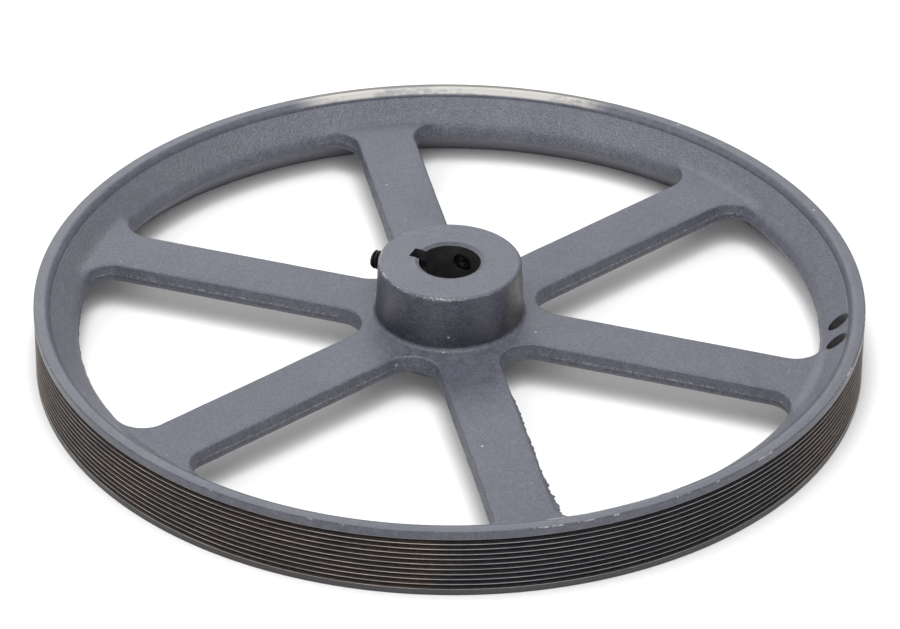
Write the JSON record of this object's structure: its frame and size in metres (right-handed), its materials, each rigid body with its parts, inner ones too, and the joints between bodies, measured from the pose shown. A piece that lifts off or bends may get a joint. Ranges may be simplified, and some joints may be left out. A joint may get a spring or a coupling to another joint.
{
  "type": "v belt pulley",
  "caption": "Large six-arm cast iron belt pulley with a ribbed belt face, a keyed hub bore and socket set screws that lock it to a shaft.",
  "frame": {"origin": "bore axis at the plane that the rim rests on", "axes": "+Z along the bore towards the long side of the hub; the keyway points to 156 degrees from +X, counter-clockwise seen from +Z"},
  "size_m": [0.34, 0.34, 0.0444],
  "materials": {
    "painted_cast_iron": "blue-grey painted sand casting, with the belt grooves left bare and browned",
    "black_oxide_steel": "black oxide, slightly oily"
  },
  "bodies": {
    "pulley": {"pulley_casting": "painted_cast_iron"},
    "keyway_screw": {"keyway_set_screw": "black_oxide_steel"},
    "side_screw": {"side_set_screw": "black_oxide_steel"}
  },
  "joints": [
    {"name": "keyway_screw_travel", "type": "slide", "parent": "pulley", "child": "keyway_screw", "axis": [-0.9135, 0.4067, 0], "range_m": [-0.0061, 0.0075]},
    {"name": "side_screw_travel", "type": "slide", "parent": "pulley", "child": "side_screw", "axis": [0.4067, 0.9135, 0], "range_m": [-0.0002, 0.016]}
  ]
}
